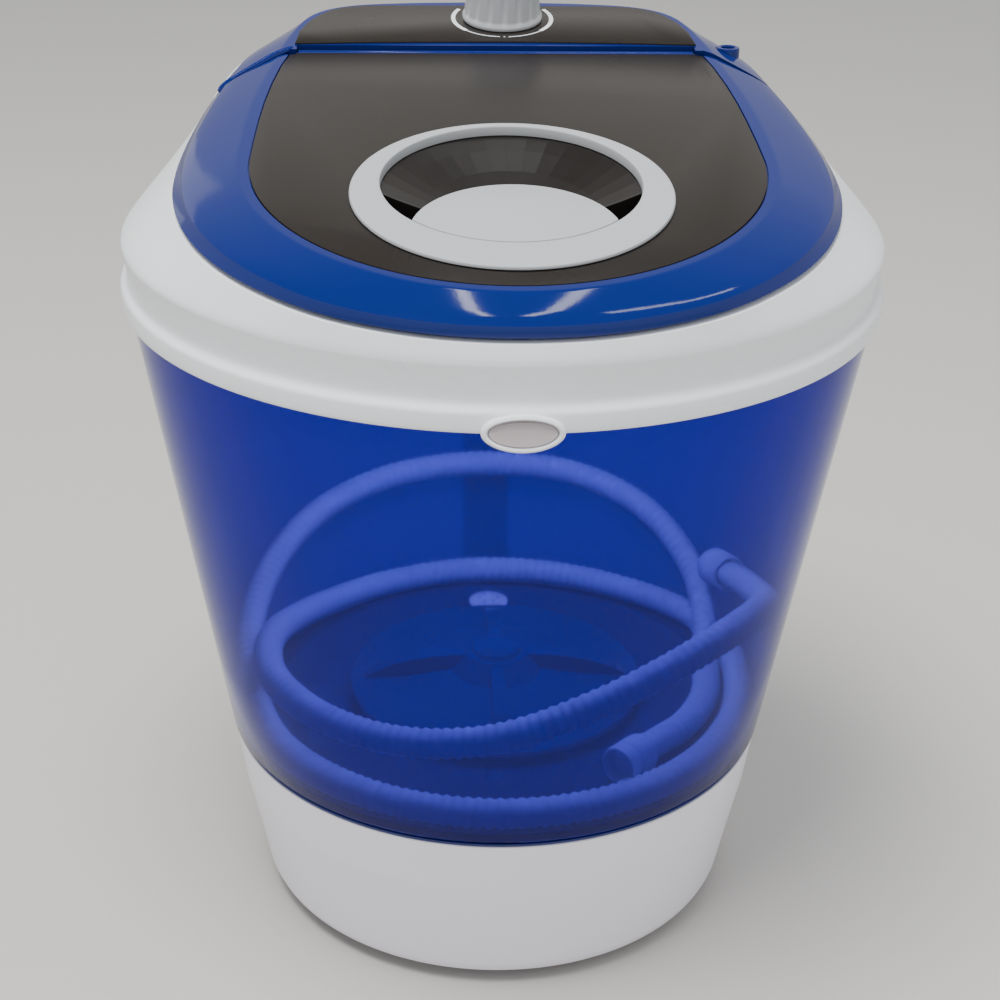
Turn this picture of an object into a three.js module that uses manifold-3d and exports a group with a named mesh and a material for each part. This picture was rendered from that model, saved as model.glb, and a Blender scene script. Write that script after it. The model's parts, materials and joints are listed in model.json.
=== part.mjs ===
// Portable mini washer: a translucent tub on a motor base, under a sloping collar with a hinged lid.
// Millimetres, +Z up, the front faces -Y, the floor is z = 0.
import * as THREE from "three";
import { mergeVertices } from "three/addons/utils/BufferGeometryUtils.js";
import Module from "manifold-3d";

const wasm = await Module();
wasm.setup();

// ---- driving sizes ----
const GAP = 0.3; // between pieces that touch
const SEGMENTS = 40; // around the large round shells

const BASE_FLOOR = 5.5; // underside of the base plate
const BASE_TOP = 93.5;
const BASE_WALL = 2.5;
const FOOT_RADIUS = 9;
const FOOT_RING = 98; // feet and base screws sit on rings about the axis
const SCREW_RING = 112;

const TUB_FLOOR = 95.6; // underside of the tub
const TUB_RADIUS = 138.8;
const TUB_FLARE = 0.168; // radius gained per millimetre of height
const TUB_RIM = 327.9;
const TUB_WALL = 2.5;

const COLLAR_LOW = 325.7;
const COLLAR_RADIUS = 181;
const COLLAR_TOP = 354.5; // where the round wall turns into the sloping face
const COLLAR_WALL = 2.5;

const DECK_TILT = THREE.MathUtils.degToRad(8.82); // the deck rises to the rear
const DECK_HEIGHT = 391.9; // on the axis
const SEAT = -1; // the collar's face under the lid, measured along the deck's normal
const LIP = 6.5; // top of the lid's upright lip
const BORDER = 12; // top of the lid's frame
const HOUSING_TOP = 13.4;

const HINGE_V = 89.7; // the hinge line, along and above the deck
const HINGE_W = 9.6;
const BARREL_RADIUS = 2.4;
const BARREL_HALF = 99;

const RING_V = -73;
const RING_RADIUS = 71;
const GRIP_V = -64;
const GRIP_RADIUS = 57.6;
const LENS_V = -112.2;
const LENS_RADIUS = 45.2;
const KNOB_U = 4.4;
const KNOB_V = 128;
const SPOUT_U = 118.2;
const SPOUT_Y = 95;
const SPOUT_LOW = 392;
const SPOUT_HIGH = 418.2;

const MOTOR_X = -74;
const PULLEY_LOW = 28;
const PULLEY_HIGH = 40;
const DRIVEN_RADIUS = 42;
const DRIVER_RADIUS = 14;
const STRAINER_Y = 94;
const DRAIN_Z = 30;
const GLAND_ANGLE = THREE.MathUtils.degToRad(22);
const HOSE_RADIUS = 7.5;

// Half outlines of the deck, as [half width, distance along the deck] from the front to the rear.
const SEAT_OUTLINE = [
  [0, -181], [42, -176], [83, -160], [114, -135], [133, -110], [144.5, -84], [151, -55],
  [152, -30], [149.5, 0], [144.8, 35], [139.5, 68], [132.5, 98], [119, 129], [101, 149], [70, 161], [35, 166.5], [0, 168],
];
const FOOT_OUTLINE = [
  [0, -179.5], [42, -174.5], [82, -158.5], [112, -134.5], [131, -110], [143, -84], [149.5, -55],
  [150.3, -30], [148, 0], [143, 35], [137.8, 62], [132.5, 86], [126.5, 102], [117.5, 117.5], [109, 130.5], [98, 146],
  [78, 157], [45, 163], [0, 165],
];
const LIP_OUTLINE = [
  [0, -178.5], [41, -173.5], [80, -158], [109, -134], [127, -110], [139, -84], [145.3, -55],
  [146.3, -30], [144, 0], [139, 35], [133.8, 62], [128.6, 85.5], [122.6, 101.5], [113.6, 117], [105, 130], [94.5, 143],
  [76, 152.6], [44, 158.4], [0, 160.5],
];
const BORDER_OUTLINE = [
  [0, -160], [42, -152.4], [80, -129.4], [103.5, -101.5], [117, -71], [121.5, -42], [121, -10],
  [118.8, 22], [115.5, 47], [111.5, 70], [107, 92], [102.8, 110], [98.6, 124], [93.8, 134], [86, 142], [73, 148], [50, 151.5],
  [25, 153], [0, 153.5],
];

const white = plastic(0xe9ebf0, 0.35);
const baseWhite = plastic(0xe4e2ee, 0.4);
const blue = plastic(0x123f9c, 0.18);
const tubBlue = plastic(0x0a1fa8, 0.1, 0.55);
const charcoal = plastic(0x35353a, 0.3);
const glossBlack = plastic(0x101014, 0.08);
const grip = plastic(0xb4b6c0, 0.3);
const rubber = plastic(0x202024, 0.85);
const hoseBlue = plastic(0xb9c4d8, 0.5);
const steel = new THREE.MeshStandardMaterial({ color: 0xb8bcc2, roughness: 0.3, metalness: 1 });
const motorPaint = new THREE.MeshStandardMaterial({ color: 0x4a4f57, roughness: 0.5, metalness: 0.6 });

const group = new THREE.Group();
group.name = "mini_washer";

function plastic(color, roughness, opacity = 1) {
  return new THREE.MeshStandardMaterial({ color, roughness, opacity, transparent: opacity < 1 });
}

// ---- helpers ----

// A geometry as a solid that the booleans take, turned outwards where its faces point in.
function solid(geometry) {
  const plain = geometry.index ? geometry.toNonIndexed() : geometry.clone();
  plain.deleteAttribute("normal");
  plain.deleteAttribute("uv");
  const merged = mergeVertices(plain, 1e-3);
  const corners = merged.attributes.position.array;
  const faces = new Uint32Array(merged.index.array);
  const first = new wasm.Manifold(new wasm.Mesh({ numProp: 3, vertProperties: corners, triVerts: faces }));
  if (first.volume() > 0) return first;
  for (let i = 0; i < faces.length; i += 3) {
    [faces[i + 1], faces[i + 2]] = [faces[i + 2], faces[i + 1]];
  }
  return new wasm.Manifold(new wasm.Mesh({ numProp: 3, vertProperties: corners, triVerts: faces }));
}

function add(name, shape, material) {
  const data = shape.getMesh();
  const geometry = new THREE.BufferGeometry();
  geometry.setAttribute("position", new THREE.BufferAttribute(new Float32Array(data.vertProperties), 3));
  geometry.setIndex(new THREE.BufferAttribute(new Uint32Array(data.triVerts), 1));
  geometry.computeVertexNormals();
  const mesh = new THREE.Mesh(geometry, material);
  mesh.name = name;
  group.add(mesh);
}

// A turned solid about Z from a closed profile of [radius, height].
function turned(profile, segments = SEGMENTS) {
  const points = profile.map(([r, z]) => new THREE.Vector2(r, z));
  const closed = profile[0][0] > 0 || profile[profile.length - 1][0] > 0;
  if (closed) points.push(points[0].clone());
  return new THREE.LatheGeometry(points, segments).rotateX(Math.PI / 2);
}

// An upright round bar of radius r about (x, y).
function bar(r, low, high, x = 0, y = 0, segments = 20) {
  return new THREE.CylinderGeometry(r, r, high - low, segments)
    .rotateX(Math.PI / 2)
    .translate(x, y, (low + high) / 2);
}

function block(x0, x1, y0, y1, z0, z1) {
  return new THREE.BoxGeometry(x1 - x0, y1 - y0, z1 - z0)
    .translate((x0 + x1) / 2, (y0 + y1) / 2, (z0 + z1) / 2);
}

// An upright prism of a flat outline of [x, y] points.
function prism(outline, low, high) {
  const shape = new THREE.Shape(outline.map(([x, y]) => new THREE.Vector2(x, y)));
  return new THREE.ExtrudeGeometry(shape, { depth: high - low, bevelEnabled: false }).translate(0, 0, low);
}

// Places a geometry made in deck coordinates (u, v, w) on the tilted deck.
function onDeck(geometry) {
  return geometry.rotateX(DECK_TILT).translate(0, 0, DECK_HEIGHT);
}

function deckPoint(u, v, w) {
  const c = Math.cos(DECK_TILT);
  const s = Math.sin(DECK_TILT);
  return new THREE.Vector3(u, v * c - w * s, DECK_HEIGHT + v * s + w * c);
}

// A closed outline from its half: count points at even angles about (0, 0).
function wholeOutline(half, count) {
  const left = half.slice(1, -1).reverse().map(([x, y]) => [-x, y]);
  const knots = [...half, ...left].map(([x, y]) => new THREE.Vector3(x, y, 0));
  const dense = new THREE.CatmullRomCurve3(knots, true, "centripetal").getPoints(900);
  const polar = dense.map((p) => [(Math.atan2(p.x, -p.y) + 2 * Math.PI) % (2 * Math.PI), Math.hypot(p.x, p.y)]);
  const points = [];
  for (let i = 0; i < count; i++) {
    const angle = (2 * Math.PI * i) / count;
    const miss = (a) => Math.abs(Math.atan2(Math.sin(a - angle), Math.cos(a - angle)));
    const near = polar.reduce((best, p) => (miss(p[0]) < miss(best[0]) ? p : best));
    points.push([near[1] * Math.sin(angle), -near[1] * Math.cos(angle)]);
  }
  return points;
}

function shrunk(points, distance) {
  return points.map(([x, y]) => {
    const r = Math.hypot(x, y);
    return [x * (1 - distance / r), y * (1 - distance / r)];
  });
}

// A solid through rings of matching points, closed flat at both ends.
function loft(rings) {
  const count = rings[0].length;
  const corners = [];
  rings.forEach((ring) => ring.forEach((p) => corners.push(p.x, p.y, p.z)));
  const faces = [];
  for (let k = 0; k + 1 < rings.length; k++) {
    for (let i = 0; i < count; i++) {
      const a = k * count + i;
      const b = k * count + ((i + 1) % count);
      faces.push(a, b, b + count, a, b + count, a + count);
    }
  }
  [0, rings.length - 1].forEach((k) => {
    const middle = new THREE.Vector3();
    rings[k].forEach((p) => middle.addScaledVector(p, 1 / count));
    const centre = corners.length / 3;
    corners.push(middle.x, middle.y, middle.z);
    for (let i = 0; i < count; i++) {
      const a = k * count + i;
      const b = k * count + ((i + 1) % count);
      faces.push(...(k === 0 ? [centre, b, a] : [centre, a, b]));
    }
  });
  const geometry = new THREE.BufferGeometry();
  geometry.setAttribute("position", new THREE.BufferAttribute(new Float32Array(corners), 3));
  geometry.setIndex(faces);
  return geometry;
}

// A tube or bar along a smooth route.
function along(points, radius, steps, sides = 8, bore = 0) {
  const section = new THREE.Shape();
  section.absarc(0, 0, radius, 0, 2 * Math.PI);
  if (bore) {
    const hole = new THREE.Path();
    hole.absarc(0, 0, bore, 0, 2 * Math.PI, true);
    section.holes.push(hole);
  }
  const extrudePath = new THREE.CatmullRomCurve3(points, false, "centripetal");
  return new THREE.ExtrudeGeometry(section, { steps, curveSegments: sides, extrudePath, bevelEnabled: false });
}

function tubRadius(z) {
  return TUB_RADIUS + TUB_FLARE * (z - TUB_FLOOR);
}

// ---- base ----

function makeBase() {
  const inner = (r) => r - BASE_WALL;
  const shell = solid(turned([
    [119, 6], [122, 9], [127.8, 36], [134, 66], [138, BASE_TOP], [116, BASE_TOP], [116, BASE_TOP - BASE_WALL],
    [inner(137.4), BASE_TOP - BASE_WALL], [inner(134), 66], [inner(127.8), 36], [inner(122.2), 10], [117.8, 6],
  ]));
  let housing = shell;
  for (let i = 0; i < 4; i++) {
    const a = (i + 0.5) * Math.PI / 2;
    const x = SCREW_RING * Math.cos(a);
    const y = SCREW_RING * Math.sin(a);
    const rib = block(SCREW_RING - 4, 123, -1.5, 1.5, 9, 30).rotateZ(a);
    housing = housing.add(solid(bar(5, 9, 30, x, y, 10))).add(solid(rib)).subtract(solid(bar(2, 8, 24, x, y, 8)));
  }
  const drainHole = bar(10.5, 100, 145, 0, 0, 20).rotateX(-Math.PI / 2).translate(0, 0, DRAIN_Z);
  const glandHole = bar(6.4, 90, 145, 0, 0, 20).rotateX(-Math.PI / 2).rotateZ(GLAND_ANGLE).translate(0, 0, DRAIN_Z);
  const wireHole = block(-6, 6, 120, 150, 84, 90);
  housing = housing.subtract(solid(drainHole)).subtract(solid(glandHole)).subtract(solid(wireHole));
  add("base_housing", housing, baseWhite);

  let plate = solid(turned([[0, BASE_FLOOR], [116.5, BASE_FLOOR], [116.5, 8.6], [0, 8.6]], 40));
  for (let i = 0; i < 4; i++) {
    const a = (i + 0.5) * Math.PI / 2;
    const x = SCREW_RING * Math.cos(a);
    const y = SCREW_RING * Math.sin(a);
    plate = plate.subtract(solid(bar(2, 4, 10, x, y, 8)));
  }
  for (let i = -2; i <= 2; i++) {
    plate = plate.subtract(solid(block(MOTOR_X - 30, MOTOR_X + 22, i * 12 - 2, i * 12 + 2, 4, 10)));
  }
  add("base_plate", plate, baseWhite);

  for (let i = 0; i < 4; i++) {
    const a = (i + 0.5) * Math.PI / 2;
    const foot = turned([[0, 0], [FOOT_RADIUS - 1, 0], [FOOT_RADIUS, 1.2], [FOOT_RADIUS, 5.2], [0, 5.2]], 12)
      .translate(FOOT_RING * Math.cos(a) * 0.93, FOOT_RING * Math.sin(a) * 0.93, 0);
    add(`foot_${i + 1}`, solid(foot), rubber);
    const screw = turned([[0, 2.6], [3.4, 2.6], [3.6, 5.2], [1.6, 5.2], [1.6, 20], [0, 21]], 8)
      .translate(SCREW_RING * Math.cos(a), SCREW_RING * Math.sin(a), 0);
    add(`base_screw_${i + 1}`, solid(screw), steel);
  }
}

// ---- drive, under the tub ----

function makeDrive() {
  const bearing = turned([
    [6.6, 58], [16, 58], [20, 64], [26, 86], [30, 90.6], [30, 93.2], [22, 93.2], [22, TUB_FLOOR - GAP], [6.6, TUB_FLOOR - GAP],
  ], 18);
  add("bearing_housing", solid(bearing), motorPaint);
  const shaft = turned([[0, 24], [4.6, 24], [5, 25], [5, 111], [4, 112], [0, 112]], 16);
  add("pulsator_shaft", solid(shaft), steel);
  add("shaft_seal", solid(turned([[5.6, 96], [10.6, 96], [10.6, 100], [7, 101.6], [5.6, 101.6]], 14)), rubber);

  add("driven_pulley", solid(turned(pulley(DRIVEN_RADIUS, 5.3, 6), 24)), motorPaint);
  add("motor_pulley", solid(turned(pulley(DRIVER_RADIUS, 4.3, 3), 14).translate(MOTOR_X, 0, 0)), steel);
  add("drive_belt", belt(), rubber);

  const motor = turned([
    [0, 60], [4.4, 60], [4.4, 46], [12, 46], [14, 50], [34, 50], [36, 53], [36, 84], [33, 87], [0, 87],
  ], 20).translate(MOTOR_X, 0, 0);
  add("motor_body", solid(motor), motorPaint);
  const axle = turned([[0, 24], [3.6, 24], [4, 25], [4, 59], [0, 59]], 14).translate(MOTOR_X, 0, 0);
  add("motor_shaft", solid(axle), steel);
  const bracket = solid(block(MOTOR_X - 24, MOTOR_X + 34, -42, 42, 87.3, 90.7));
  add("motor_bracket", bracket, steel);

  add("capacitor", solid(turned([[0, 9], [13, 9], [14, 10], [14, 55], [12, 57], [0, 57]], 20).translate(62, 46, 0)), white);
  const strap = solid(bar(16, 26, 36, 62, 46, 20)).subtract(solid(bar(14.3, 25, 37, 62, 46, 20)));
  const tab = solid(block(60, 64, 61, 74, 26, 36));
  const footTab = solid(block(60, 64, 71, 74, 9, 36));
  add("capacitor_clip", strap.add(tab).add(footTab), steel);
}

// A pulley's half section: a rim with a V groove, a thin web and a hub with a bore.
function pulley(rim, bore, hub) {
  const middle = (PULLEY_LOW + PULLEY_HIGH) / 2;
  return [
    [bore, PULLEY_LOW], [bore + hub, PULLEY_LOW], [rim, PULLEY_LOW], [rim + 3, PULLEY_LOW + 1],
    [rim - 2, middle - 2], [rim - 2, middle + 2], [rim + 3, PULLEY_HIGH - 1], [rim, PULLEY_HIGH],
    [bore + hub, PULLEY_HIGH], [bore, PULLEY_HIGH],
  ];
}

function belt() {
  const low = (PULLEY_LOW + PULLEY_HIGH) / 2 - 1.7;
  const loop = (grow) => {
    const big = DRIVEN_RADIUS - 1.6 + grow;
    const small = DRIVER_RADIUS - 1.6 + grow;
    const lean = Math.asin((big - small) / -MOTOR_X);
    const points = [];
    for (let i = 0; i <= 24; i++) {
      const a = -Math.PI / 2 - lean + ((Math.PI + 2 * lean) * i) / 24;
      points.push([big * Math.cos(a), big * Math.sin(a)]);
    }
    for (let i = 0; i <= 10; i++) {
      const a = Math.PI / 2 + lean + ((Math.PI - 2 * lean) * i) / 10;
      points.push([MOTOR_X + small * Math.cos(a), small * Math.sin(a)]);
    }
    return points;
  };
  return solid(prism(loop(3.2), low, low + 3.4)).subtract(solid(prism(loop(0), low - 1, low + 5)));
}

// ---- drain and mains inlet at the rear of the base ----

function makeServices() {
  const pipe = along([
    new THREE.Vector3(0, STRAINER_Y, 95.2), new THREE.Vector3(0, STRAINER_Y, 70), new THREE.Vector3(0, STRAINER_Y, 46),
    new THREE.Vector3(0, STRAINER_Y + 4, DRAIN_Z + 4), new THREE.Vector3(0, STRAINER_Y + 14, DRAIN_Z),
    new THREE.Vector3(0, 114, DRAIN_Z),
  ], 8, 10, 5, 5.5);
  add("drain_pipe", solid(pipe), rubber);

  const spigot = turned([
    [4.8, 114.4], [10, 114.4], [10, 131], [15, 131.6], [15, 133.6], [8, 134], [8, 141], [9, 144], [7.4, 148], [4.8, 148],
  ], 14).rotateX(-Math.PI / 2).translate(0, 0, DRAIN_Z);
  add("drain_spigot", solid(spigot), baseWhite);

  const gland = turned([
    [0, 114], [9, 114], [9, 118], [6, 118.6], [6, 129], [8.4, 130], [7, 142], [3.6, 143], [3.6, 135], [0, 135],
  ], 12).rotateX(-Math.PI / 2).rotateZ(GLAND_ANGLE).translate(0, 0, DRAIN_Z);
  add("cord_gland", solid(gland), rubber);

  const harness = along([
    new THREE.Vector3(-48, 102, 44), new THREE.Vector3(-44, 92, 62), new THREE.Vector3(-32, 96, 82),
    new THREE.Vector3(-14, 112, 86), new THREE.Vector3(0, 124, 87), new THREE.Vector3(0, 139, 87.5),
  ], 2.4, 12, 3);
  add("wiring_harness", solid(harness), rubber);
}

// ---- tub, pulsator and hose ----

function makeTub() {
  const rim = tubRadius(TUB_RIM);
  let shell = solid(turned([
    [0, TUB_FLOOR], [136.5, TUB_FLOOR], [138.8, 98], [rim, TUB_RIM], [rim - TUB_WALL, TUB_RIM],
    [136.6, 102], [134, 98.9], [0, 98.9],
  ]));
  shell = shell.subtract(solid(bar(11, 90, 104, 0, 0, 24)));
  shell = shell.subtract(solid(bar(8.6, 90, 104, 0, STRAINER_Y, 20)));
  add("tub_shell", shell, tubBlue);
  add("tub_gasket", solid(turned([[118, 93.8], [137.4, 93.8], [137.4, 95.3], [118, 95.3]])), blue);

  let strainer = solid(turned([[0, 99.2], [11, 99.2], [11, 99.8], [6, 101.6], [0, 102]], 20).translate(0, STRAINER_Y, 0));
  for (let i = 0; i < 6; i++) {
    const a = i * Math.PI / 3;
    strainer = strainer.subtract(solid(bar(1.4, 98, 104, 5 * Math.cos(a), STRAINER_Y + 5 * Math.sin(a), 5)));
  }
  add("drain_strainer", strainer, white);

  let disc = solid(turned([
    [0, 112.4], [5.4, 112.4], [5.4, 102.6], [60, 102.6], [76, 103], [78, 104.4], [77, 106.4], [50, 108.4],
    [24, 112.5], [19, 118], [16, 122], [0, 122],
  ], 28));
  for (let i = 0; i < 4; i++) {
    const vane = new THREE.Shape();
    vane.moveTo(10, 105);
    vane.lineTo(72, 105);
    vane.quadraticCurveTo(62, 115, 44, 118);
    vane.quadraticCurveTo(30, 121, 10, 121);
    const depth = 7;
    const fin = new THREE.ExtrudeGeometry(vane, { depth, curveSegments: 3, bevelEnabled: false })
      .translate(0, 0, -depth / 2)
      .rotateX(Math.PI / 2)
      .rotateZ((i * Math.PI) / 2);
    disc = disc.add(solid(fin));
  }
  add("pulsator", disc, blue);
  add("pulsator_cap", solid(turned([[0, 122.3], [13, 122.3], [12, 124.4], [7, 126], [0, 126.5]], 20)), blue);
}

// The drain hose lies loose in the tub, about two turns round the wall: [degrees, radius, height].
const HOSE_ROUTE = [
  [-57, 108.6, 109.8], [-44, 105.6, 109.4], [-30, 108.4, 108.4], [-12, 111, 107.6], [4, 113, 109.6], [18, 122, 121],
  [32, 132.5, 134], [49, 137, 153], [68, 138.5, 163.5], [90, 138.5, 166], [112, 138.2, 164], [132, 137, 157],
  [150, 134.8, 145.5], [170, 131.6, 130], [188, 128.8, 116.5], [206, 128.4, 107.6], [228, 128.4, 107.2],
  [250, 128.4, 107.2], [272, 128.4, 107.2], [294, 128.4, 107.2], [316, 128.4, 107.2], [338, 128.6, 107.2],
  [360, 128.8, 107.2], [376, 128.8, 107.2], [392, 127, 107.2], [412, 121, 107.2], [434, 118.5, 107.2],
  [456, 118, 107.2], [480, 117.5, 107.5], [502, 115.5, 112], [522, 114, 121.5], [540, 115.4, 133.5],
  [555, 121.5, 140.5], [572, 130, 145], [590, 134.6, 145.5], [608, 135.8, 146.5], [627, 137.2, 154],
  [646, 139.6, 169.5], [664, 142, 182.5], [680, 142.4, 186], [697, 140, 177], [712, 136.2, 163],
  [726, 133, 153], [740, 131, 145.5],
];

function hosePoint([degrees, radius, height]) {
  const a = THREE.MathUtils.degToRad(degrees);
  return new THREE.Vector3(radius * Math.cos(a), radius * Math.sin(a), height);
}

function makeHose() {
  const route = HOSE_ROUTE.map(hosePoint);
  add("drain_hose", solid(along(route, HOSE_RADIUS, 66, 4)), hoseBlue);
  const cuff = turned([[HOSE_RADIUS + 0.8, 0], [10.3, 0], [10.3, 18], [9.2, 20], [HOSE_RADIUS + 0.8, 20]], 12);
  const ends = [[route[0], route[1]], [route[route.length - 1], route[route.length - 2]]];
  ends.forEach(([end, next], i) => {
    const inward = next.clone().sub(end).normalize();
    const turn = new THREE.Quaternion().setFromUnitVectors(new THREE.Vector3(0, 0, 1), inward);
    const place = end.clone().addScaledVector(inward, -6);
    const piece = cuff.clone().applyQuaternion(turn).translate(place.x, place.y, place.z);
    add(`hose_cuff_${i + 1}`, solid(piece), hoseBlue);
  });
}

// ---- collar ----

const RING_POINTS = 40;
const seatRing = wholeOutline(SEAT_OUTLINE, RING_POINTS);

function circleRing(radius, z) {
  const ring = [];
  for (let i = 0; i < RING_POINTS; i++) {
    const a = (2 * Math.PI * i) / RING_POINTS;
    ring.push(new THREE.Vector3(radius * Math.sin(a), -radius * Math.cos(a), z));
  }
  return ring;
}

// The face from the round wall up to the seat: an upright start, a tight shoulder, a long straight slope.
function slopeRings(radius, low, seat, top, shares) {
  const circle = circleRing(radius, low);
  return shares.map((t) => circle.map((start, i) => {
    const [u, v] = seat[i];
    const end = deckPoint(u, v, top);
    const rise = Math.min(2.5, (end.z - low) * 0.4);
    const first = start.clone().setZ(low + rise);
    const second = first.clone().lerp(end, 0.12);
    return new THREE.CubicBezierCurve3(start, first, second, end).getPoint(t);
  }));
}

function makeCollar() {
  const outside = loft([
    circleRing(180.6, COLLAR_LOW), circleRing(COLLAR_RADIUS, 326.6), circleRing(COLLAR_RADIUS, 334.2),
    circleRing(COLLAR_RADIUS - 0.8, 335.6), circleRing(177.8, 337.4), circleRing(177.2, 339),
    ...slopeRings(179.6, COLLAR_TOP, seatRing, SEAT, [0, 0.3, 0.6, 1]),
  ]);
  const inside = loft([
    circleRing(174, COLLAR_LOW - 4), circleRing(174.6, 340),
    ...slopeRings(176.4, COLLAR_TOP - 2, shrunk(seatRing, 3.5), SEAT - COLLAR_WALL, [0.2, 0.5, 1]),
  ]);
  const tubSocket = turned([
    [0, COLLAR_LOW - 3], [tubRadius(TUB_RIM) + 0.35, COLLAR_LOW - 3], [tubRadius(TUB_RIM) + 0.35, TUB_RIM + GAP],
    [0, TUB_RIM + GAP],
  ]);
  let collar = solid(outside).subtract(solid(inside)).subtract(solid(tubSocket));
  collar = collar.subtract(solid(onDeck(prism(washOpening(), -20, 5))));
  collar = collar.subtract(solid(onDeck(prism(rectangle(54, 100, 152), -20, 5))));
  collar = collar.subtract(solid(bar(6.5, 380, 430, SPOUT_U, SPOUT_Y, 16)));
  add("top_collar", collar, white);

  const well = solid(onDeck(prism(rectangle(60, 95, 157), -42, -3.9)))
    .subtract(solid(onDeck(prism(rectangle(57.5, 97.5, 154.5), -39.5, 0))));
  add("control_well", well, white);
}

function rectangle(halfWidth, front, rear) {
  return [[-halfWidth, front], [halfWidth, front], [halfWidth, rear], [-halfWidth, rear]];
}

// The D-shaped opening that the washing goes through.
function washOpening() {
  const points = [];
  for (let i = 0; i <= 20; i++) {
    const a = Math.PI + (Math.PI * i) / 20;
    points.push([132 * Math.cos(a), -34 + 132 * Math.sin(a)]);
  }
  points.push([127, 20], [118, 62], [108, 72], [-108, 72], [-118, 62], [-127, 20]);
  return points;
}

// ---- lid ----

const footRing = wholeOutline(FOOT_OUTLINE, RING_POINTS);
const lipRing = wholeOutline(LIP_OUTLINE, RING_POINTS);
const borderRing = wholeOutline(BORDER_OUTLINE, RING_POINTS);

function deckRing(points, w) {
  return points.map(([u, v]) => new THREE.Vector3(u, v, w));
}

// Lid and control housing share one low dome: an upright lip, a wide skirt, a flat top.
function dome(top, inset) {
  return solid(onDeck(loft([
    deckRing(shrunk(footRing, inset), inset ? -3 : -0.5),
    deckRing(shrunk(lipRing, inset), LIP - inset * 0.9),
    deckRing(shrunk(borderRing, inset), top - (inset ? 2.4 : 0)),
  ])));
}

function panelOutline(shrink) {
  const points = [];
  const r = 116.4 - shrink;
  for (let i = 0; i <= 24; i++) {
    const a = Math.PI + (Math.PI * i) / 24;
    points.push([r * Math.cos(a), -39.5 + r * Math.sin(a)]);
  }
  const side = [[115.8, -20], [114.6, 4], [113, 26], [110.6, 48], [107.2, 70], [104, 84.6], [98.6, 86.6]];
  side.forEach(([u, v]) => points.push([u - shrink, v - (v > 80 ? shrink : 0)]));
  side.reverse().forEach(([u, v]) => points.push([shrink - u, v - (v > 80 ? shrink : 0)]));
  return points;
}

function makeLid() {
  const share = [
    [-170, -200], [170, -200], [170, 28.6], [106, 84.6], [BARREL_HALF + 0.4, 84.6], [BARREL_HALF + 0.4, 87.2],
    [-BARREL_HALF - 0.4, 87.2], [-BARREL_HALF - 0.4, 84.6], [-106, 84.6], [-170, 28.6],
  ];
  const front = solid(onDeck(prism(share, -20, 40)));
  const innerShare = [[-167, -197], [167, -197], [167, 26], [104, 81.5], [-104, 81.5], [-167, 26]];
  const cavity = dome(BORDER, 2.6).intersect(solid(onDeck(prism(innerShare, -20, BORDER - 3.4))));
  let frame = dome(BORDER, 0).intersect(front).subtract(cavity);
  frame = frame.subtract(solid(onDeck(prism(panelOutline(0), BORDER - 1.6, 30))));
  const barrel = bar(BARREL_RADIUS, -BARREL_HALF, BARREL_HALF, 0, 0, 16)
    .rotateY(Math.PI / 2).translate(0, HINGE_V, HINGE_W);
  const web = block(-BARREL_HALF, BARREL_HALF, 84, HINGE_V, HINGE_W - 1.6, HINGE_W + 0.6);
  frame = frame.add(solid(onDeck(web))).add(solid(onDeck(barrel)));
  frame = frame.subtract(solid(onDeck(bar(60.5, -5, 30, 0, GRIP_V, 40))));
  for (const side of [-1, 1]) {
    const bore = bar(1.45, 91, 101, 0, 0, 12).rotateY(side * Math.PI / 2).translate(0, HINGE_V, HINGE_W);
    frame = frame.subtract(solid(onDeck(bore)));
  }
  add("lid_frame", frame, blue);

  const panel = solid(onDeck(prism(panelOutline(0.4), BORDER - 1.3, BORDER + 0.2)))
    .subtract(solid(onDeck(bar(60.5, -5, 30, 0, GRIP_V, 40))));
  add("lid_panel", panel, charcoal);

  const flange = solid(onDeck(bar(RING_RADIUS, BORDER + 0.5, BORDER + 2.4, 0, RING_V, 40)))
    .add(solid(onDeck(bar(60, 9.8, BORDER + 2, 0, GRIP_V, 40))));
  add("handle_ring", flange.subtract(solid(onDeck(bar(GRIP_RADIUS, 0, 30, 0, GRIP_V, 40)))), grip);

  add("finger_well", fingerWell(), glossBlack);

  const lens = solid(onDeck(bar(GRIP_RADIUS - GAP, 10.6, BORDER + 2.2, 0, GRIP_V, 40)))
    .intersect(solid(onDeck(bar(LENS_RADIUS, 0, 30, 0, LENS_V, 32))));
  add("finger_plate", lens, grip);

  for (const side of [-1, 1]) {
    const pin = bar(1.1, 92, 106, 0, 0, 10).rotateY(side * Math.PI / 2).translate(0, HINGE_V, HINGE_W);
    add(side < 0 ? "hinge_pin_left" : "hinge_pin_right", solid(onDeck(pin)), steel);
  }
}

// A shallow bowl under the ring, and in front of its middle a deeper pocket under the plate.
function fingerWell() {
  const frontHalf = (line) => solid(onDeck(prism([[-80, -160], [80, -160], [80, line], [-80, line]], -40, 40)));
  const bowl = turned([[0, -5], [20, -3.6], [38, 1], [50, 5.8], [57.5, 9.2], [57.5, 14], [0, 14]], 36);
  const under = turned([[0, -7.8], [22, -6.2], [40, -1.5], [52, 3.2], [58, 6.6], [64, 6.8], [64, -20], [0, -20]], 36);
  const deep = solid(onDeck(bar(57.5, -10, 20, 0, GRIP_V, 36))).intersect(frontHalf(-66));
  return solid(onDeck(bar(60, -12.5, 9.5, 0, GRIP_V, 36)))
    .subtract(solid(onDeck(bowl.translate(0, GRIP_V, 0))))
    .subtract(deep)
    .subtract(solid(onDeck(under.translate(0, GRIP_V, 0))).subtract(frontHalf(-63)));
}

// ---- control housing, timer and spout ----

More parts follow.
